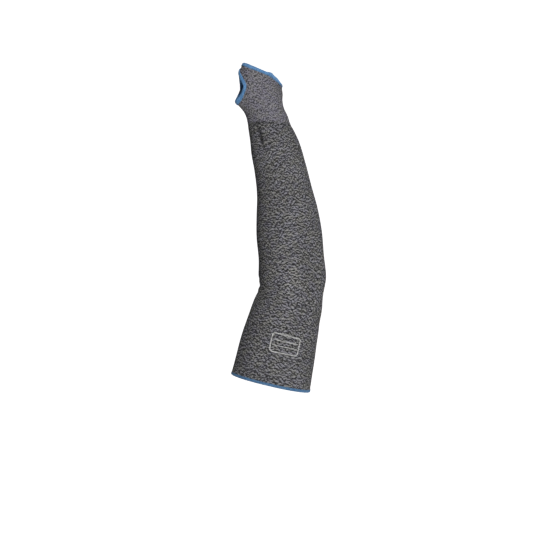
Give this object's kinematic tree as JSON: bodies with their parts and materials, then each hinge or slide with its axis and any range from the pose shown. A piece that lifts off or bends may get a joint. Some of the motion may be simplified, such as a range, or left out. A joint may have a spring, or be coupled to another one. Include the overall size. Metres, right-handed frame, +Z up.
{
  "type": "cut resistant sleeve",
  "caption": "Seamless knitted arm sleeve with a tighter hand cuff, a thumb hole and overlocked edgings, in the form a raised, slightly bent arm gives it.",
  "frame": {"origin": "middle of the arm opening, where the upper arm holds the sleeve", "axes": "+Z up as the raised arm stands, towards the hand; +X towards the point of the elbow; the back of the hand and the thumb hole face -Y"},
  "size_m": [0.1379, 0.1052, 0.4728],
  "materials": {
    "knit_dark": "heathered charcoal knit",
    "knit_light": "finer, lighter grey knit",
    "thread_blue": "blue overlock thread"
  },
  "bodies": {
    "root": {"arm_tube": "knit_dark", "hand_cuff": "knit_light", "arm_edging": "thread_blue", "hand_edging": "thread_blue", "thumb_edging": "thread_blue"}
  },
  "joints": []
}
